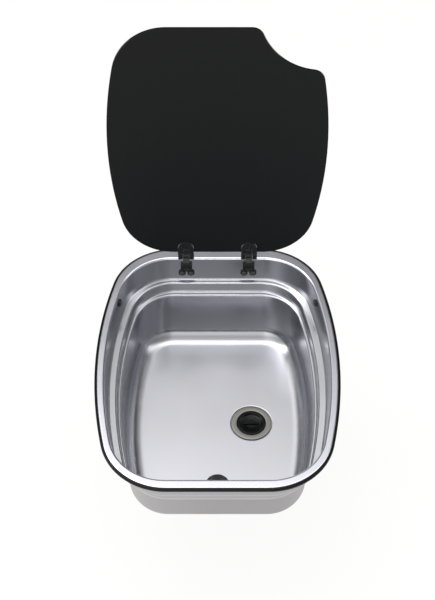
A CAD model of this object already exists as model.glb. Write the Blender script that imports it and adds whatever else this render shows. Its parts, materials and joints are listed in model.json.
"""Dressed model of a camper's kitchen sink with a black glass lid."""

import json
import math
from types import SimpleNamespace

import bmesh
import bpy
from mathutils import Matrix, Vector


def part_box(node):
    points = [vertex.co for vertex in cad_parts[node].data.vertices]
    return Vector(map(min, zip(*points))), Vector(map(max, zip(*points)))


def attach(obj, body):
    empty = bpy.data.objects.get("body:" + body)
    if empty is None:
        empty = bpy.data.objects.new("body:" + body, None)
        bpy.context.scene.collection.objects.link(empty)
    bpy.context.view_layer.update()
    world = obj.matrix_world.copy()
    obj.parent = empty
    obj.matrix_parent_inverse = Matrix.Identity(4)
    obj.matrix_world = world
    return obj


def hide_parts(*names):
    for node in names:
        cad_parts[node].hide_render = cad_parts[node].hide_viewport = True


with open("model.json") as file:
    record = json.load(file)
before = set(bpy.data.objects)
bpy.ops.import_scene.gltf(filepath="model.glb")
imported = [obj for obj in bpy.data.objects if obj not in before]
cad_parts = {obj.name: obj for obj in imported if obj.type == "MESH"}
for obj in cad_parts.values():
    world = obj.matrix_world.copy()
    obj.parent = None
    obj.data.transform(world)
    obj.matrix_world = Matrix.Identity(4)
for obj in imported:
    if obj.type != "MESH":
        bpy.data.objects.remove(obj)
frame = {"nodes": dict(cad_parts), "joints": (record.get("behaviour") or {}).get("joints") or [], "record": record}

bl_info = {
    "name": "Camper Sink With Glass Lid",
    "version": (1, 0, 0),
    "blender": (4, 5, 0),
    "location": "3D View > Sidebar > Sink",
    "description": "Builds the pressed bowl, seal, waste and hinged glass lid of a camper's sink",
    "category": "Add Mesh",
}

MM = 0.001

# places that the frame's own solids give
BASIN_LOW, BASIN_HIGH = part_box("basin")
RIM_TOP = BASIN_HIGH.z / MM
SEAL_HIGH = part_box("rim_seal")[1]
FLANGE_LOW, FLANGE_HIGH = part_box("waste_flange")
PLUG_LOW, PLUG_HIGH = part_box("drain_plug")
WASTE_X = (FLANGE_LOW.x + FLANGE_HIGH.x) / 2 / MM
WASTE_Y = (FLANGE_LOW.y + FLANGE_HIGH.y) / 2 / MM
LID_PIVOT = Vector(
    next(joint["pos_m"] for joint in frame["joints"] if joint["name"] == "lid_hinge")
)


# ---------------------------------------------------------------- settings
def linear(hex_value):
    """An sRGB hex value as linear RGBA."""
    channels = [int(hex_value[i : i + 2], 16) / 255 for i in (1, 3, 5)]
    return [c / 12.92 if c <= 0.04045 else ((c + 0.055) / 1.055) ** 2.4 for c in channels] + [1.0]


def millimetres(name, description, size_mm):
    """A length setting whose default is given in millimetres."""
    return bpy.props.FloatProperty(
        name=name,
        description=description,
        default=size_mm * MM,
        min=0.0,
        unit="LENGTH",
        precision=4,
    )


def colour(name, description, hex_value):
    """A colour setting, given as an sRGB hex value."""
    return bpy.props.FloatVectorProperty(
        name=name,
        description=description,
        default=linear(hex_value),
        size=4,
        min=0.0,
        max=1.0,
        subtype="COLOR",
    )


class SinkBowlSettings(bpy.types.PropertyGroup):
    """Sizes of the pressed bowl and its rim."""

    rim_half_width: millimetres("Rim half width", "Steel edge to the middle", 174.7)
    rim_half_depth: millimetres("Rim half depth", "Steel edge to the middle", 218.9)
    rim_side_radius: millimetres("Rim side radius", "Slow curve of the rim's sides", 642.2)
    rim_corner_radius: millimetres("Rim corner radius", "Rounding of the rim's corners", 91.2)
    rim_edge_radius: millimetres("Rim edge radius", "Rolled-down outer edge", 2.4)
    skirt_foot: millimetres("Skirt foot", "Height of the skirt's lower edge", 1.5)
    flat_side: millimetres("Rim flat, sides", "From the rim's edge to the mouth", 11.6)
    flat_back: millimetres("Rim flat, back", "From the rim's edge to the mouth", 19.4)
    flat_front: millimetres("Rim flat, front", "From the rim's edge to the mouth", 13.9)
    mouth_step: millimetres("Mouth curve step", "Tighter curves than the rim's", 12.2)
    mouth_edge_radius: millimetres("Mouth edge radius", "Rolled edge into the bowl", 3.0)
    upper_depth: millimetres("Upper ledge depth", "Below the rim", 46.0)
    upper_lean: millimetres("Upper wall lean", "Draft of the upper wall", 3.0)
    ledge_side: millimetres("Upper ledge, sides", "Width of the ledge", 11.5)
    ledge_back: millimetres("Upper ledge, back", "Width of the ledge", 7.3)
    ledge_front: millimetres("Upper ledge, front", "Width of the ledge", 5.4)
    middle_side_step: millimetres("Middle side step", "Tighter side curve than the mouth's", 15.0)
    middle_corner_step: millimetres("Middle corner step", "Tighter corners than the mouth's", 12.0)
    middle_depth: millimetres("Lower ledge depth", "Below the rim", 66.0)
    middle_lean: millimetres("Middle wall lean", "Draft of the middle wall", 1.0)
    lower_side: millimetres("Lower ledge, sides", "Width of the ledge", 4.1)
    lower_back: millimetres("Lower ledge, back", "Width of the ledge", 6.7)
    lower_front: millimetres("Lower ledge, front", "Width of the ledge", 5.8)
    bowl_step: millimetres("Bowl curve step", "Tighter curves than the middle wall's", 5.0)
    bowl_depth: millimetres("Bowl depth", "Rim to floor", 145.0)
    lean_side: millimetres("Bowl lean, sides", "Draft of the lower walls", 5.0)
    lean_back: millimetres("Bowl lean, back", "Draft of the lower wall", 21.2)
    lean_front: millimetres("Bowl lean, front", "Draft of the lower wall", 11.0)
    floor_side_step: millimetres("Floor side step", "Tighter side curve than the bowl's", 5.0)
    floor_corner_step: millimetres("Floor corner step", "Tighter corners than the bowl's", 7.0)
    floor_radius: millimetres("Floor radius", "Round between wall and floor", 25.0)
    hollow_radius: millimetres("Hollow radius", "Hollow corner at the foot of the upper wall", 2.2)
    lip_radius: millimetres("Lip radius", "Edge of the upper ledge over the middle wall", 2.6)
    lower_hollow_radius: millimetres("Lower hollow radius", "Foot of the middle wall", 1.8)
    lower_lip_radius: millimetres("Lower lip radius", "Edge over the lower wall", 2.1)
    sheet: millimetres("Sheet", "Steel thickness", 0.8)


class SinkSealSettings(bpy.types.PropertyGroup):
    """Sizes of the rubber edge seal."""

    foot_reach: millimetres("Foot reach", "Inwards from the steel's edge, under the rim", 7.2)
    shoulder_radius: millimetres("Shoulder radius", "Rounding of the outer upper edge", 2.2)
    foot_radius: millimetres("Foot radius", "Rounding of the foot's corners", 0.3)
    inner_radius: millimetres("Inner radius", "Rounding next to the steel's edge", 0.2)
    gap: millimetres("Gap", "Between the rubber and the steel's edge", 0.05)


class SinkWasteSettings(bpy.types.PropertyGroup):
    """Sizes of the waste and its plug."""

    seat_radius: millimetres("Seat radius", "Pressed seat in the floor", 31.8)
    seat_depth: millimetres("Seat depth", "Below the floor", 1.6)
    seat_edge: millimetres("Seat edge", "Rounding of the seat's edge", 1.2)
    hole_radius: millimetres("Hole radius", "Hole in the floor", 25.6)
    flange_radius: millimetres("Flange radius", "Turned waste flange", 31.0)
    flange_thickness: millimetres("Flange thickness", "Turned waste flange", 1.4)
    flange_neck: millimetres("Flange neck", "Outer radius below the floor", 25.0)
    flange_mouth: millimetres("Flange mouth", "Inner radius over the cone", 22.5)
    flange_bore: millimetres("Flange bore", "Inner radius under the cone", 20.0)
    cone_start: millimetres("Cone start", "Below the flange's top", 3.0)
    cone_end: millimetres("Cone end", "Below the flange's top", 7.0)
    plug_radius: millimetres("Plug radius", "Push-in plug", 22.0)
    plug_dish: millimetres("Plug dish", "Depth of the dished top", 3.0)
    plug_flat: millimetres("Plug flat", "Width of the plug's flat rim", 3.4)
    plug_rim_depth: millimetres("Plug rim depth", "From the top to the cone", 3.6)
    plug_cone_end: millimetres("Plug cone end", "Below the plug's top", 7.8)
    plug_body_radius: millimetres("Plug body radius", "Under the cone", 19.0)
    groove_radius: millimetres("Groove radius", "Bottom of the ring's groove", 17.6)
    groove_start: millimetres("Groove start", "Above the plug's foot", 1.3)
    groove_width: millimetres("Groove width", "Groove of the sealing ring", 2.2)
    grip_length: millimetres("Grip length", "Bar across the dish", 24.0)
    grip_width: millimetres("Grip width", "Bar across the dish", 2.8)
    grip_height: millimetres("Grip height", "Bar across the dish", 2.6)
    grip_round: millimetres("Grip rounding", "Edges of the bar", 0.9)


class SinkColourSettings(bpy.types.PropertyGroup):
    """Colours of the finishes."""

    waste: colour("Turned steel", "Waste flange", "#8F8D88")
    enamel_low: colour("Black enamel, low", "At the glass's lower edge", "#121416")
    enamel_high: colour("Black enamel, high", "At the glass's upper edge", "#171918")
    glass: colour("Glass", "Outer face and edges", "#060807")
    rubber: colour("Seal rubber", "Edge seal and gaskets", "#060607")
    nylon: colour("Black nylon", "Hinges, rest and caps", "#070808")
    plug: colour("Plug plastic", "Glossy moulding", "#050606")
    pipe: colour("Polypropylene", "Parts under the floor", "#17181A")
    zinc: colour("Zinc-plated steel", "Pins, plates and screws", "#B9BBBD")
    black_zinc: colour("Black zinc", "Screws and bolts of the hinges", "#6A6B63")


class SinkStageSettings(bpy.types.PropertyGroup):
    """Camera of the photograph's view."""

    camera_front: millimetres("Camera distance", "In front of the sink's middle", 1019.0)
    camera_height: millimetres("Camera height", "Over the rim", 1286.7)
    camera_pitch: bpy.props.FloatProperty(
        name="Camera pitch",
        description="Below the horizon",
        default=math.radians(48.66),
        subtype="ANGLE",
    )
    focal_pixels: bpy.props.FloatProperty(
        name="Focal length", description="In picture pixels", default=1129.0
    )
    picture_height: bpy.props.FloatProperty(
        name="Picture height", description="In pixels", default=600.0
    )


def settings(name):
    """The named settings of the open scene."""
    return getattr(bpy.context.scene, "sink_" + name)


def sizes(name):
    """The lengths of the named settings, in millimetres."""
    group = settings(name)
    return SimpleNamespace(**{key: getattr(group, key) / MM for key in group.__annotations__})


# ---------------------------------------------------------------- outlines and rings
# points along the parts of an outline
END_STEPS = 12
CORNER_STEPS = 24
SIDE_STEPS = 28
# points along a rounded corner of a flat section
SECTION_STEPS = 6
# closer points than this, in metres, are one
MERGE = 1e-7


class Outline:
    """Straight front and back, slowly curved sides and round corners, all tangent."""

    def __init__(self, half_width, back, front, side_radius, corner_radius):
        self.numbers = (half_width, back, front, side_radius, corner_radius)

    def stepped_in(self, side, back, front, side_step, corner_step):
        """An outline inside this one, by its own distance at the sides, back and front."""
        insets = (side, back, front, side_step, corner_step)
        return Outline(*(a - b for a, b in zip(self.numbers, insets)))

    def drawn_in(self, inset):
        """The same outline, drawn in all round."""
        return self.stepped_in(inset, inset, inset, inset, inset)

    def blended(self, other, share):
        """An outline between this one and another."""
        pairs = zip(self.numbers, other.numbers)
        return Outline(*(a + (b - a) * share for a, b in pairs))

    def points(self, z):
        """Points all round at height z, the same number for each outline."""
        width, back, front, side, corner = self.numbers
        half_depth = (back + front) / 2
        middle = (back - front) / 2
        centre_y = half_depth - corner
        side_x = width - side
        centre_x = side_x + math.sqrt((side - corner) ** 2 - centre_y**2)
        turn = math.atan2(centre_y, centre_x - side_x)
        quarter = math.radians(90)
        half = []
        for step in range(END_STEPS):
            half.append((-centre_x + 2 * centre_x * step / END_STEPS, half_depth))
        for step in range(CORNER_STEPS):
            angle = quarter + (turn - quarter) * step / CORNER_STEPS
            half.append((centre_x + corner * math.cos(angle), centre_y + corner * math.sin(angle)))
        for step in range(SIDE_STEPS):
            angle = turn - 2 * turn * step / SIDE_STEPS
            half.append((side_x + side * math.cos(angle), side * math.sin(angle)))
        for step in range(CORNER_STEPS):
            angle = -turn + (turn - quarter) * step / CORNER_STEPS
            half.append((centre_x + corner * math.cos(angle), -centre_y + corner * math.sin(angle)))
        other = [(-x, -y) for x, y in half]
        return [Vector((x, y + middle, z)) for x, y in half + other]


def circle_facing(points, centre, radius, z):
    """A circle with one point for each of the given points, each on the line from the centre."""
    ring = []
    for point in points:
        way = Vector((point.x - centre[0], point.y - centre[1], 0)).normalized()
        ring.append(Vector((centre[0], centre[1], z)) + way * radius)
    return ring


def rounded(corners):
    """Line through (point, radius, steps) corners, with each one rounded by an arc."""
    line = [corners[0][0]]
    neighbours = zip(corners, corners[1:], corners[2:])
    for (before, *_), (point, radius, steps), (after, *_) in neighbours:
        come = (before - point).normalized()
        go = (after - point).normalized()
        half_opening = come.angle(go) / 2
        centre = point + (come + go).normalized() * radius / math.sin(half_opening)
        start = point + come * radius / math.tan(half_opening) - centre
        end = point + go * radius / math.tan(half_opening) - centre
        line += [centre + radius * start.slerp(end, step / steps) for step in range(steps + 1)]
    line.append(corners[-1][0])
    return line


def section_line(corners):
    """Rounded flat section through (across, z) or (across, z, radius) corners."""
    upright = [
        (Vector((x, 0, z)), radius[0] if radius else 0.0, SECTION_STEPS)
        for x, z, *radius in corners
    ]
    return [(point.x, point.z) for point in rounded(upright)]


def wrap(name, rings, closed=False):
    """A surface through rings of equally many points; closed joins the last to the first."""
    rings = rings + rings[:1] if closed else rings
    around = len(rings[0])
    shell = bmesh.new()
    bmesh.ops.create_grid(shell, x_segments=around, y_segments=len(rings) - 1, size=0.5)
    for vertex in shell.verts:
        column = round((vertex.co.x + 0.5) * around)
        row = round((vertex.co.y + 0.5) * (len(rings) - 1))
        vertex.co = rings[row][column % around] * MM
    bmesh.ops.remove_doubles(shell, verts=shell.verts, dist=MERGE)
    bmesh.ops.recalc_face_normals(shell, faces=shell.faces)
    return finished(name, shell)


def finished(name, shape, smooth=True):
    """Turn a bmesh into an object at the origin."""
    mesh = bpy.data.meshes.new(name)
    for face in shape.faces:
        face.smooth = smooth
    shape.to_mesh(mesh)
    shape.free()
    piece = bpy.data.objects.new(name, mesh)
    bpy.context.scene.collection.objects.link(piece)
    return piece


def lathe(name, section, centre, steps=96):
    """Turn a section of (radius, z) points about an upright axis."""
    shape = bmesh.new()
    points = [
        shape.verts.new((centre[0] * MM + r * MM, centre[1] * MM, z * MM)) for r, z in section
    ]
    for one, two in zip(points, points[1:]):
        shape.edges.new((one, two))
    bmesh.ops.spin(
        shape,
        geom=shape.verts[:] + shape.edges[:],
        cent=(centre[0] * MM, centre[1] * MM, 0),
        axis=(0, 0, 1),
        angle=math.tau,
        steps=steps,
        use_merge=True,
        use_duplicate=False,
    )
    bmesh.ops.remove_doubles(shape, verts=shape.verts, dist=MERGE)
    bmesh.ops.recalc_face_normals(shape, faces=shape.faces)
    return finished(name, shape)


# ---------------------------------------------------------------- materials
def add_node(tree, kind, settings_of=None, inputs=None):
    """Add a node with its settings, and set or link its inputs."""
    node = tree.nodes.new(kind)
    for key, value in (settings_of or {}).items():
        setattr(node, key, value)
    for key, value in (inputs or {}).items():
        if isinstance(value, bpy.types.NodeSocket):
            tree.links.new(value, node.inputs[key])
        else:
            node.inputs[key].default_value = value
    return node


def new_material(name):
    """An empty node material and its tree."""
    material = bpy.data.materials.new(name)
    material.use_nodes = True
    material.node_tree.nodes.clear()
    return material, material.node_tree


def per_metre(size_mm):
    """Texture scale for a pattern of this size."""
    return 1.0 / (size_mm * MM)


def noise(tree, spot, size_mm, detail=2.0):
    """Level of a soft pattern whose blotches are about this size."""
    pattern = add_node(
        tree,
        "ShaderNodeTexNoise",
        inputs={"Vector": spot, "Scale": per_metre(size_mm), "Detail": detail},
    )
    return pattern.outputs["Fac"]


# levels between which most of a noise pattern lies
NOISE_SPAN = (0.3, 0.7)
# rays by which an edge is softened
EDGE_SAMPLES = 6


def mapped(tree, value, given, wanted=(0.0, 1.0)):
    """A value, carried from the given range to the wanted one."""
    node = add_node(
        tree,
        "ShaderNodeMapRange",
        inputs={
            "Value": value,
            "From Min": given[0],
            "From Max": given[1],
            "To Min": wanted[0],
            "To Max": wanted[1],
        },
    )
    return node.outputs[0]


def combined(tree, operation, *values):
    """Result of a math operation on numbers and sockets."""
    node = add_node(tree, "ShaderNodeMath", {"operation": operation}, dict(enumerate(values)))
    return node.outputs[0]


def relief(tree, height, strength, depth_mm, under=None):
    """Normal of a fine relief, over another normal if one is given."""
    inputs = {"Strength": strength, "Distance": depth_mm * MM, "Height": height}
    if under is not None:
        inputs["Normal"] = under
    return add_node(tree, "ShaderNodeBump", inputs=inputs).outputs[0]


def soft_edges(tree, radius_mm):
    """Normal that makes sharp edges look rounded by this radius."""
    inputs = {"Radius": radius_mm * MM}
    return add_node(tree, "ShaderNodeBevel", {"samples": EDGE_SAMPLES}, inputs).outputs[0]


def surface(tree, shader):
    """Connect a shader to the material's output."""
    add_node(tree, "ShaderNodeOutputMaterial", inputs={"Surface": shader})


def spread_stops(ramp, stops, low, high):
    """Set a ramp's stops, given as (place between low and high, colour)."""
    while len(ramp.elements) < len(stops):
        ramp.elements.new(0.5)
    for element, (at, tint) in zip(ramp.elements, stops):
        element.position = (at - low) / (high - low)
        element.color = tint


# height in millimetres and tone, chosen to match the photograph: the walls are duller than
# the floor, the two ledges and the rim
STEEL_TONES = (
    (-136, "#D4D4D9"),
    (-124, "#BFC0C5"),
    (-66, "#BBBCC1"),
    (-62.5, "#DCDDE2"),
    (-59.5, "#DCDDE2"),
    (-56, "#C4C5C9"),
    (-45, "#C4C5C9"),
    (-42, "#DEDFE4"),
    (-40, "#DEDFE4"),
    (-37, "#BDBEC3"),
    (1, "#BDBEC3"),
    (4, "#F0EFF8"),
)
STEEL_SPAN = (BASIN_LOW.z / MM, BASIN_HIGH.z / MM)
# just over the flat of the floor and a little higher
FLOOR_SKIN = (-139.9, -138.0)
# roughness of the steel from one blotch to the next, and what the flat of the floor adds
STEEL_ROUGHNESS = (0.20, 0.25)
FLOOR_ROUGHER = 0.09


def satin_stainless_steel():
    """Deep-drawn stainless sheet, satin: a soft sheen with faint upright streaks in its grain."""
    material, tree = new_material("satin_stainless_steel")
    spot = add_node(tree, "ShaderNodeTexCoord").outputs["Object"]
    height = add_node(tree, "ShaderNodeSeparateXYZ", inputs={"Vector": spot}).outputs["Z"]
    share = mapped(tree, height, (BASIN_LOW.z, BASIN_HIGH.z))
    tone = add_node(tree, "ShaderNodeValToRGB", inputs={"Fac": share})
    tones = [(at, linear(tint)) for at, tint in STEEL_TONES]
    spread_stops(tone.color_ramp, tones, *STEEL_SPAN)
    rough = mapped(tree, noise(tree, spot, 60), NOISE_SPAN, STEEL_ROUGHNESS)
    # the flat of the floor is a little rougher, so that its sheen is smooth from back to front
    floor_skin = [level * MM for level in FLOOR_SKIN]
    on_floor = mapped(tree, height, floor_skin, (FLOOR_ROUGHER, 0.0))
    stretch = add_node(
        tree, "ShaderNodeMapping", inputs={"Vector": spot, "Scale": (1.0, 1.0, 0.08)}
    )
    # real grain is about 0.05 mm; drawn at 0.6 mm so that it shows
    grain = noise(tree, stretch.outputs[0], 0.6, detail=3.0)
    steel = add_node(
        tree,
        "ShaderNodeBsdfPrincipled",
        inputs={
            "Base Color": tone.outputs[0],
            "Metallic": 1.0,
            "Roughness": combined(tree, "ADD", rough, on_floor),
            "Normal": relief(tree, grain, 0.05, 0.02),
        },
    )
    surface(tree, steel.outputs[0])
    return material


# spacing of the drawn rings in millimetres, and rings in one unit of the pattern
RING_SPACING = 4.4
RINGS_PER_UNIT = 20 / math.tau


def turned_steel():
    """Stainless flange faced on a lathe: a dull grey with soft rings round the waste."""
    material, tree = new_material("turned_steel")
    spot = add_node(tree, "ShaderNodeTexCoord").outputs["Object"]
    centred = add_node(
        tree,
        "ShaderNodeMapping",
        inputs={"Vector": spot, "Location": (-WASTE_X * MM, -WASTE_Y * MM, 0)},
    )
    # real tool marks are too fine to show, so the rings are drawn far coarser
    rings = add_node(
        tree,
        "ShaderNodeTexWave",
        {"wave_type": "RINGS", "rings_direction": "Z"},
        {
            "Vector": centred.outputs[0],
            "Scale": per_metre(RING_SPACING) / RINGS_PER_UNIT,
            "Distortion": 0.3,
            "Detail": 2.0,
        },
    )
    steel = add_node(
        tree,
        "ShaderNodeBsdfPrincipled",
        inputs={
            "Base Color": settings("colours").waste,
            "Metallic": 1.0,
            "Roughness": 0.38,
            "Normal": relief(tree, rings.outputs["Fac"], 0.2, 0.03),
        },
    )
    surface(tree, steel.outputs[0])
    return material


# how far the open lid leans back, and where the enamelled face starts, from the hinge's axis
LID_LEAN = math.radians(6.0)
ENAMEL_FROM = 7.3


def enamelled_glass():
    """Tempered glass with black enamel fired on its inner face: dull inside, polished outside."""
    colours = settings("colours")
    material, tree = new_material("enamelled_glass")
    spot = add_node(tree, "ShaderNodeTexCoord").outputs["Object"]
    low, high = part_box("lid_glass")
    height = add_node(tree, "ShaderNodeSeparateXYZ", inputs={"Vector": spot}).outputs["Z"]
    fade = mapped(tree, height, (low.z, high.z))
    tone = add_node(
        tree,
        "ShaderNodeMix",
        {"data_type": "RGBA"},
        {0: fade, 6: colours.enamel_low, 7: colours.enamel_high},
    )
    enamel = add_node(
        tree,
        "ShaderNodeBsdfPrincipled",
        inputs={
            "Base Color": tone.outputs[2],
            "Roughness": 0.55,
            "Specular IOR Level": 0.12,
            "Normal": relief(tree, noise(tree, spot, 0.8), 0.05, 0.02),
        },
    )
    glass = add_node(
        tree,
        "ShaderNodeBsdfPrincipled",
        inputs={"Base Color": colours.glass, "Roughness": 0.04, "Specular IOR Level": 0.2},
    )
    # the two faces are told apart by the distance from the hinge's axis, across the glass
    square_on = Vector((0.0, -math.cos(LID_LEAN), math.sin(LID_LEAN)))
    across = add_node(
        tree, "ShaderNodeVectorMath", {"operation": "DOT_PRODUCT"}, {0: spot, 1: square_on}
    )
    start = square_on.dot(LID_PIVOT) + ENAMEL_FROM * MM
    inside = combined(tree, "GREATER_THAN", across.outputs["Value"], start)
    both = add_node(
        tree,
        "ShaderNodeMixShader",
        inputs={0: inside, 1: glass.outputs[0], 2: enamel.outputs[0]},
    )
    surface(tree, both.outputs[0])
    return material


def moulded(name, tone, roughness, grain_mm, depth_mm, edge_mm=0.0, level=0.5):
    """A moulded plastic or rubber: one colour, a fine skin and, if asked, softly rounded edges."""
    material, tree = new_material(name)
    spot = add_node(tree, "ShaderNodeTexCoord").outputs["Object"]
    around = (roughness - 0.04, roughness + 0.04)
    grain = noise(tree, spot, grain_mm, detail=3.0)
    edges = soft_edges(tree, edge_mm) if edge_mm else None
    body = add_node(
        tree,
        "ShaderNodeBsdfPrincipled",
        inputs={
            "Base Color": tone,
            "Roughness": mapped(tree, noise(tree, spot, 9), NOISE_SPAN, around),
            "Specular IOR Level": level,
            "Normal": relief(tree, grain, 0.3, depth_mm, under=edges),
        },
    )
    surface(tree, body.outputs[0])
    return material


def plated_steel(name, tone, roughness):
    """Zinc-plated or blackened screw steel: a soft metal sheen with slight blotches."""
    material, tree = new_material(name)
    spot = add_node(tree, "ShaderNodeTexCoord").outputs["Object"]
    around = (roughness - 0.06, roughness + 0.06)
    metal = add_node(
        tree,
        "ShaderNodeBsdfPrincipled",
        inputs={
            "Base Color": tone,
            "Metallic": 1.0,
            "Roughness": mapped(tree, noise(tree, spot, 1.5), NOISE_SPAN, around),
            "Normal": soft_edges(tree, 0.25),
        },
    )
    surface(tree, metal.outputs[0])
    return material


def dress(node_name, material):
    """Give one of the frame's own solids a finish."""
    mesh = frame["nodes"][node_name].data
    mesh.materials.clear()
    mesh.materials.append(material)


def place(piece, body, replaced, material):
    """Finish a new piece: its material, body, slot and the solids it stands for."""
    piece.data.materials.append(material)
    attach(piece, body)
    if replaced:
        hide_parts(*replaced)


# ---------------------------------------------------------------- pieces
# flat left beside a rounded edge, so that the next ring lies on a flat
RIM_LAND = 1.0
MOUTH_LAND = 0.6
FLOOR_LAND = 1.5
# shares of the rim's flat at which it has a ring, and rings across the floor
RIM_SHARES = (0.33, 0.67)
FLOOR_STEPS = 8
# points along the round of the mouth, of a ledge and of the floor's edge
MOUTH_STEPS = 8
LEDGE_STEPS = 5
FOOT_STEPS = 26


def rim_line(bowl):
    """Outline of the steel's outer edge."""
    return Outline(
        bowl.rim_half_width,
        bowl.rim_half_depth,
        bowl.rim_half_depth,
        bowl.rim_side_radius,
        bowl.rim_corner_radius,
    )


class SINK_OT_bowl(bpy.types.Operator):
    """Press the rim, the stepped walls and the floor from one sheet of steel"""

    bl_idname = "sink.bowl"
    bl_label = "Steel bowl"

    def execute(self, context):
        bowl = sizes("bowl")
        rim = rim_line(bowl)
        mouth = rim.stepped_in(
            bowl.flat_side, bowl.flat_back, bowl.flat_front, bowl.mouth_step, bowl.mouth_step
        )
        rings = self.rim_rings(bowl, rim, mouth)
        rings += self.wall_rings(bowl, mouth)
        rings += self.floor_rings(sizes("waste"), rings[-1], RIM_TOP - bowl.bowl_depth)
        piece = wrap("steel_bowl", rings)
        wall = piece.modifiers.new("sheet", "SOLIDIFY")
        wall.thickness = bowl.sheet * MM
        wall.offset = -1.0
        wall.use_even_offset = True
        place(piece, "sink", ["basin"], satin_stainless_steel())
        return {"FINISHED"}

    def rim_rings(self, bowl, rim, mouth):
        """Skirt, rolled edge and flat of the rim."""
        edge_end = bowl.rim_edge_radius + RIM_LAND
        edge = section_line(
            [(0, bowl.skirt_foot), (0, RIM_TOP, bowl.rim_edge_radius), (edge_end, RIM_TOP)]
        )
        rings = [rim.drawn_in(across).points(z) for across, z in edge]
        flat_start = rim.drawn_in(edge_end)
        flat_end = mouth.drawn_in(-bowl.mouth_edge_radius - MOUTH_LAND)
        for share in RIM_SHARES:
            rings.append(flat_start.blended(flat_end, share).points(RIM_TOP))
        return rings

    def wall_rings(self, bowl, mouth):
        """Rolled mouth, three walls and two ledges, down to the flat of the floor."""
        middle = mouth.stepped_in(
            bowl.upper_lean + bowl.ledge_side,
            bowl.upper_lean + bowl.ledge_back,
            bowl.upper_lean + bowl.ledge_front,
            bowl.middle_side_step,
            bowl.middle_corner_step,
        )
        lower = middle.stepped_in(
            bowl.middle_lean + bowl.lower_side,
            bowl.middle_lean + bowl.lower_back,
            bowl.middle_lean + bowl.lower_front,
            bowl.bowl_step,
            bowl.bowl_step,
        )
        foot = lower.stepped_in(
            bowl.lean_side,
            bowl.lean_back,
            bowl.lean_front,
            bowl.floor_side_step,
            bowl.floor_corner_step,
        )
        ledge = RIM_TOP - bowl.upper_depth
        lower_ledge = RIM_TOP - bowl.middle_depth
        floor = RIM_TOP - bowl.bowl_depth
        flat_end = mouth.drawn_in(-bowl.mouth_edge_radius - MOUTH_LAND)
        upper_foot = mouth.drawn_in(bowl.upper_lean)
        middle_foot = middle.drawn_in(bowl.middle_lean)
        floor_start = foot.drawn_in(bowl.floor_radius + FLOOR_LAND)
        corners = [
            (flat_end.points(RIM_TOP), 0.0, 0),
            (mouth.points(RIM_TOP), bowl.mouth_edge_radius, MOUTH_STEPS),
            (upper_foot.points(ledge), bowl.hollow_radius, LEDGE_STEPS),
            (middle.points(ledge), bowl.lip_radius, LEDGE_STEPS),
            (middle_foot.points(lower_ledge), bowl.lower_hollow_radius, LEDGE_STEPS),
            (lower.points(lower_ledge), bowl.lower_lip_radius, LEDGE_STEPS),
            (foot.points(floor), bowl.floor_radius, FOOT_STEPS),
            (floor_start.points(floor), 0.0, 0),
        ]
        lines = []
        for column in range(len(corners[0][0])):
            down = [(ring[column], radius, steps) for ring, radius, steps in corners]
            lines.append(rounded(down))
        return [list(ring) for ring in zip(*lines)]

    def floor_rings(self, waste, last, floor):
        """Flat of the floor, and the pressed seat of the waste."""
        centre = (WASTE_X, WASTE_Y)
        seat_start = waste.seat_radius + waste.seat_edge + RIM_LAND
        seat = circle_facing(last, centre, seat_start, floor)
        rings = []
        for step in range(1, FLOOR_STEPS):
            rings.append([a.lerp(b, step / FLOOR_STEPS) for a, b in zip(last, seat)])
        seat_line = section_line(
            [
                (seat_start, floor),
                (waste.seat_radius, floor, waste.seat_edge),
                (waste.seat_radius, floor - waste.seat_depth, 0.3),
                (waste.hole_radius, floor - waste.seat_depth),
            ]
        )
        rings += [circle_facing(last, centre, radius, z) for radius, z in seat_line]
        return rings


# underside of the seal's lip over the rolled edge: inwards from the steel's edge, below the
# seal's top, and rounding
SEAL_LIP = ((0.9, 0.1, 0.03), (0.5, 0.5, 0.05), (0.17, 1.1, 0.05))
SEAL_LIP_ROOT = 2.0


class SINK_OT_seal(bpy.types.Operator):
    """Mould the rubber edge seal round the rim"""

    bl_idname = "sink.seal"
    bl_label = "Edge seal"

    def execute(self, context):
        bowl = sizes("bowl")
        seal = sizes("seal")
        rim = rim_line(bowl)
        outer = bowl.rim_half_width - SEAL_HIGH.x / MM
        top = SEAL_HIGH.z / MM
        section = section_line(
            [
                (outer + seal.foot_radius, 0),
                (outer, 0, seal.foot_radius),
                (outer, top, seal.shoulder_radius),
                *[(across, top - below, radius) for across, below, radius in SEAL_LIP],
                (-seal.gap, top - SEAL_LIP_ROOT, seal.inner_radius),
                (-seal.gap, bowl.skirt_foot, seal.inner_radius),
                (seal.foot_reach, bowl.skirt_foot, seal.foot_radius),
                (seal.foot_reach, 0, seal.foot_radius),
                (seal.foot_reach - 4 * seal.foot_radius, 0),
            ]
        )
        rings = [rim.drawn_in(across).points(z) for across, z in section]
        piece = wrap("edge_seal", rings, closed=True)
        finish = moulded("seal_rubber", settings("colours").rubber, 0.24, 0.5, 0.015, level=0.22)
        place(piece, "sink", ["rim_seal"], finish)
        return {"FINISHED"}


FLANGE_STEPS = 128
GROOVE_ROUND = 0.1
# slope of the plug's dish: inwards from the edge, share of the depth, and rounding
DISH_KNEE = (6.5, 0.75, 5.0)
# flat of the dish: radius, and rounding to the slope
DISH_FLAT = (8.0, 6.0)
# middle of the grip bar over the floor of the dish
GRIP_LIFT = 0.9


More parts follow.
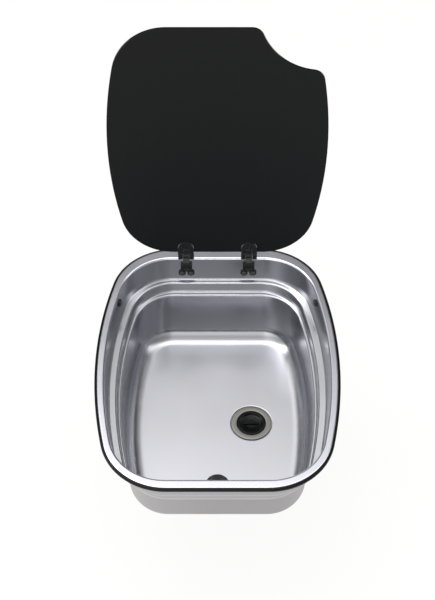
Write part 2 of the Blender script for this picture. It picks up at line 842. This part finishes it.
class SINK_OT_waste(bpy.types.Operator):
    """Turn the waste flange and mould the dished plug with its grip bar"""

    bl_idname = "sink.waste"
    bl_label = "Waste and plug"

    def execute(self, context):
        waste = sizes("waste")
        centre = (WASTE_X, WASTE_Y)
        flange = lathe("waste_ring", self.flange_section(waste), centre, FLANGE_STEPS)
        place(flange, "sink", ["waste_flange"], turned_steel())
        tone = settings("colours").plug
        finish = moulded("plug_plastic", tone, 0.20, 0.6, 0.01, level=0.2)
        plug = lathe("plug_body", self.plug_section(waste), centre)
        place(plug, "plug", ["drain_plug"], finish)
        place(self.grip(waste), "plug", [], finish)
        return {"FINISHED"}

    def flange_section(self, waste):
        """Flat flange, cone for the plug and neck through the floor."""
        top = FLANGE_HIGH.z / MM
        foot = FLANGE_LOW.z / MM
        under = top - waste.flange_thickness
        line = section_line(
            [
                (waste.flange_bore, foot),
                (waste.flange_bore, top - waste.cone_end, 0.6),
                (waste.flange_mouth, top - waste.cone_start, 0.8),
                (waste.flange_mouth, top, 0.5),
                (waste.flange_radius, top, 0.9),
                (waste.flange_radius, under, 0.1),
                (waste.flange_neck, under, 0.3),
                (waste.flange_neck, foot),
            ]
        )
        return line + line[:1]

    def plug_section(self, waste):
        """Body with the groove of its ring, cone, flat rim and dish."""
        top = PLUG_HIGH.z / MM
        foot = PLUG_LOW.z / MM
        groove_low = foot + waste.groove_start
        groove_high = groove_low + waste.groove_width
        dish_floor = top - waste.plug_dish
        knee_in, knee_share, knee_round = DISH_KNEE
        flat_radius, flat_round = DISH_FLAT
        return section_line(
            [
                (0.0, foot),
                (waste.plug_body_radius, foot, 0.6),
                (waste.plug_body_radius, groove_low, GROOVE_ROUND),
                (waste.groove_radius, groove_low + GROOVE_ROUND, GROOVE_ROUND),
                (waste.groove_radius, groove_high - GROOVE_ROUND, GROOVE_ROUND),
                (waste.plug_body_radius, groove_high, GROOVE_ROUND),
                (waste.plug_body_radius, top - waste.plug_cone_end, 0.5),
                (waste.plug_radius, top - waste.plug_rim_depth, 0.5),
                (waste.plug_radius, top, 1.0),
                (waste.plug_radius - waste.plug_flat, top, 1.0),
                (waste.plug_radius - knee_in, top - knee_share * waste.plug_dish, knee_round),
                (flat_radius, dish_floor, flat_round),
                (0.0, dish_floor),
            ]
        )

    def grip(self, waste):
        """Rounded bar across the dish, by which the plug is pulled."""
        bar = bmesh.new()
        bmesh.ops.create_cube(bar, size=1.0)
        size = Vector((waste.grip_length, waste.grip_width, waste.grip_height))
        bmesh.ops.scale(bar, vec=size * MM, verts=bar.verts)
        bmesh.ops.bevel(
            bar,
            geom=bar.edges[:],
            offset=waste.grip_round * MM,
            segments=4,
            profile=0.5,
            affect="EDGES",
            material=-1,
        )
        middle = Vector((WASTE_X, WASTE_Y, PLUG_HIGH.z / MM - waste.plug_dish + GRIP_LIFT))
        bmesh.ops.translate(bar, vec=middle * MM, verts=bar.verts)
        return finished("plug_grip", bar)


# the pane and what turns with it, which the bowl in the photograph doesn't mirror
UNMIRRORED = ("lid_glass", "hinge_leaf", "hinge_cap", "hinge_pad", "hinge_bolt")


class SINK_OT_fittings(bpy.types.Operator):
    """Give the lid, hinges, rest, screws and the parts under the bowl their finishes"""

    bl_idname = "sink.fittings"
    bl_label = "Lid and fittings"

    def execute(self, context):
        colours = settings("colours")
        nylon = moulded("black_nylon", colours.nylon, 0.28, 0.35, 0.02, edge_mm=0.5)
        rubber = moulded("gasket_rubber", colours.rubber, 0.6, 0.5, 0.03)
        pipe = moulded("black_polypropylene", colours.pipe, 0.45, 0.8, 0.02, edge_mm=0.4)
        zinc = plated_steel("zinc_plated_steel", colours.zinc, 0.38)
        black_zinc = plated_steel("black_zinc_steel", colours.black_zinc, 0.34)
        by_slot = {
            "black_glass": enamelled_glass(),
            "black_rubber": rubber,
            "black_plastic": nylon,
            "waste_plastic": pipe,
            "black_screw": black_zinc,
            "plain_steel": zinc,
        }
        for part in frame["record"]["subparts"]:
            if part["material_slot"] in by_slot:
                dress(part["node"], by_slot[part["material_slot"]])
            if part["node"].startswith(UNMIRRORED):
                frame["nodes"][part["node"]].visible_glossy = False
        return {"FINISHED"}


# ---------------------------------------------------------------- stage
def lamp(name, stand, size, power):
    """A white rectangular softbox aimed at the sink."""
    light = bpy.data.lights.new(name, "AREA")
    light.shape = "RECTANGLE"
    light.size, light.size_y = size
    light.energy = power
    holder = bpy.data.objects.new(name, light)
    holder.location = stand
    holder.rotation_euler = (-Vector(stand)).to_track_quat("-Z", "Y").to_euler()
    # gloss sees the sky and the floor, but no softbox
    holder.visible_glossy = False
    bpy.context.scene.collection.objects.link(holder)


# softboxes: place and size in metres, and power in watts
LAMPS = (
    ("overhead", (0.0, -0.1, 1.9), (2.2, 1.6), 16.0),
    ("front_left", (-1.5, -1.3, 1.3), (1.2, 1.2), 8.0),
    ("front_right", (1.5, -1.3, 1.1), (1.2, 1.2), 6.0),
)
# half width and height of the floor, in metres
FLOOR_REACH = 8.0
FLOOR_LEVEL = -0.30
# strength of the white that is seen in place of the lit paper, its share in the floor, and
# how much of that share gloss sees, so that the outer walls stay a mid grey
WHITE = 1.06
WHITE_SHARE = 0.85
WHITE_IN_GLOSS = 0.22
# brightest level of the sky's tables, whose bands were fitted to the steel in the photograph
SKY_FULL = 3.0
# angle over the sink in degrees, from behind to in front, and level
SKY_OVER = (
    (0, 0.14),
    (44, 0.13),
    (48, 0.16),
    (52, 0.48),
    (55, 0.86),
    (60, 1.10),
    (67, 1.70),
    (71, 3.00),
    (86, 3.00),
    (93, 1.10),
    (100, 0.65),
    (115, 0.52),
    (128, 0.52),
    (144, 0.86),
    (156, 0.90),
    (163, 2.10),
    (178, 2.10),
)
# leaning to the left or right, and share
SKY_ACROSS = (
    (-1.0, 0.8),
    (-0.6, 1.0),
    (-0.25, 1.5),
    (-0.11, 1.40),
    (-0.06, 0.8),
    (0.0, 1.0),
    (0.05, 1.50),
    (0.10, 0.70),
    (0.30, 0.55),
    (1.0, 0.4),
)


class SINK_OT_stage(bpy.types.Operator):
    """Set up the white floor, the sky, the softboxes and the camera"""

    bl_idname = "sink.stage"
    bl_label = "Stage"

    def execute(self, context):
        scene = context.scene
        stage = settings("stage")
        self.floor()
        self.sky(scene)
        for name, stand, size, power in LAMPS:
            lamp(name, stand, size, power)
        camera = bpy.data.cameras.new("camera")
        camera.sensor_width = 36.0
        camera.lens = stage.focal_pixels / stage.picture_height * camera.sensor_width
        camera.clip_start = 0.05
        holder = bpy.data.objects.new("camera", camera)
        holder.location = (0.0, -stage.camera_front, stage.camera_height + RIM_TOP * MM)
        holder.rotation_euler = (math.radians(90) - stage.camera_pitch, 0.0, 0.0)
        scene.collection.objects.link(holder)
        scene.camera = holder
        scene.view_settings.view_transform = "Standard"
        return {"FINISHED"}

    def floor(self):
        """White floor below the waste, large enough for every view."""
        sheet = bmesh.new()
        bmesh.ops.create_grid(sheet, x_segments=1, y_segments=1, size=FLOOR_REACH)
        bmesh.ops.translate(sheet, vec=(0, 0, FLOOR_LEVEL), verts=sheet.verts)
        floor = finished("floor", sheet, smooth=False)
        material, tree = new_material("white_paper")
        paper = add_node(tree, "ShaderNodeBsdfDiffuse", inputs={"Color": linear("#CEC8C5")})
        glow = add_node(
            tree, "ShaderNodeEmission", inputs={"Color": (1, 1, 1, 1), "Strength": WHITE}
        )
        rays = add_node(tree, "ShaderNodeLightPath").outputs
        looked_at = combined(tree, "MAXIMUM", rays["Is Camera Ray"], rays["Is Transmission Ray"])
        mirrored = combined(tree, "MULTIPLY", rays["Is Glossy Ray"], WHITE_IN_GLOSS)
        seen = combined(tree, "MAXIMUM", looked_at, mirrored)
        share = combined(tree, "MULTIPLY", seen, WHITE_SHARE)
        mixed = add_node(
            tree,
            "ShaderNodeMixShader",
            inputs={0: share, 1: paper.outputs[0], 2: glow.outputs[0]},
        )
        surface(tree, mixed.outputs[0])
        floor.data.materials.append(material)

    def sky(self, scene):
        """White for the camera; gloss and ambient light see the bands of the sky's tables."""
        world = bpy.data.worlds.new("sky")
        world.use_nodes = True
        tree = world.node_tree
        tree.nodes.clear()
        way = add_node(tree, "ShaderNodeTexCoord").outputs["Generated"]
        axes = add_node(tree, "ShaderNodeSeparateXYZ", inputs={"Vector": way}).outputs
        angle = combined(tree, "ARCTAN2", axes["Z"], axes["Y"])
        degrees_up = combined(tree, "MULTIPLY", angle, math.degrees(1.0))
        # level by the angle over the sink, from the horizon behind it to the one in front
        over = self.ramp(tree, degrees_up, 0.0, 180.0, SKY_OVER)
        # and its share by the direction's leaning to the left or right
        across = self.ramp(tree, axes["X"], -1.0, 1.0, SKY_ACROSS)
        level = combined(tree, "MULTIPLY", over, across)
        rays = add_node(tree, "ShaderNodeLightPath")
        # both tables are stored as shares of SKY_FULL
        sky = add_node(
            tree,
            "ShaderNodeBackground",
            inputs={"Color": level, "Strength": SKY_FULL**2},
        )
        white = add_node(
            tree, "ShaderNodeBackground", inputs={"Color": (1, 1, 1, 1), "Strength": 1.0}
        )
        mixed = add_node(
            tree,
            "ShaderNodeMixShader",
            inputs={0: rays.outputs["Is Camera Ray"], 1: sky.outputs[0], 2: white.outputs[0]},
        )
        add_node(tree, "ShaderNodeOutputWorld", inputs={"Surface": mixed.outputs[0]})
        scene.world = world

    def ramp(self, tree, value, low, high, stops):
        """Levels by a value between low and high, as shares of SKY_FULL."""
        share = mapped(tree, value, (low, high))
        ramp = add_node(tree, "ShaderNodeValToRGB", inputs={"Fac": share})
        greys = [(at, [level / SKY_FULL] * 3 + [1.0]) for at, level in stops]
        spread_stops(ramp.color_ramp, greys, low, high)
        return ramp.outputs[0]


# ---------------------------------------------------------------- panel and running
class SINK_PT_panel(bpy.types.Panel):
    """Sidebar panel that lists the building steps"""

    bl_idname = "SINK_PT_panel"
    bl_label = "Camper sink"
    bl_space_type = "VIEW_3D"
    bl_region_type = "UI"
    bl_category = "Sink"

    def draw(self, context):
        for operator in OPERATORS:
            self.layout.operator(operator.bl_idname)


GROUPS = (
    ("bowl", SinkBowlSettings),
    ("seal", SinkSealSettings),
    ("waste", SinkWasteSettings),
    ("colours", SinkColourSettings),
    ("stage", SinkStageSettings),
)
OPERATORS = (SINK_OT_bowl, SINK_OT_seal, SINK_OT_waste, SINK_OT_fittings, SINK_OT_stage)


def register():
    for name, group in GROUPS:
        bpy.utils.register_class(group)
        setattr(bpy.types.Scene, "sink_" + name, bpy.props.PointerProperty(type=group))
    for operator in OPERATORS:
        bpy.utils.register_class(operator)
    bpy.utils.register_class(SINK_PT_panel)


def unregister():
    bpy.utils.unregister_class(SINK_PT_panel)
    for operator in reversed(OPERATORS):
        bpy.utils.unregister_class(operator)
    for name, group in reversed(GROUPS):
        delattr(bpy.types.Scene, "sink_" + name)
        bpy.utils.unregister_class(group)


def main():
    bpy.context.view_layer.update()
    register()
    bpy.ops.sink.bowl()
    bpy.ops.sink.seal()
    bpy.ops.sink.waste()
    bpy.ops.sink.fittings()
    bpy.ops.sink.stage()


if __name__ == "__main__":
    main()
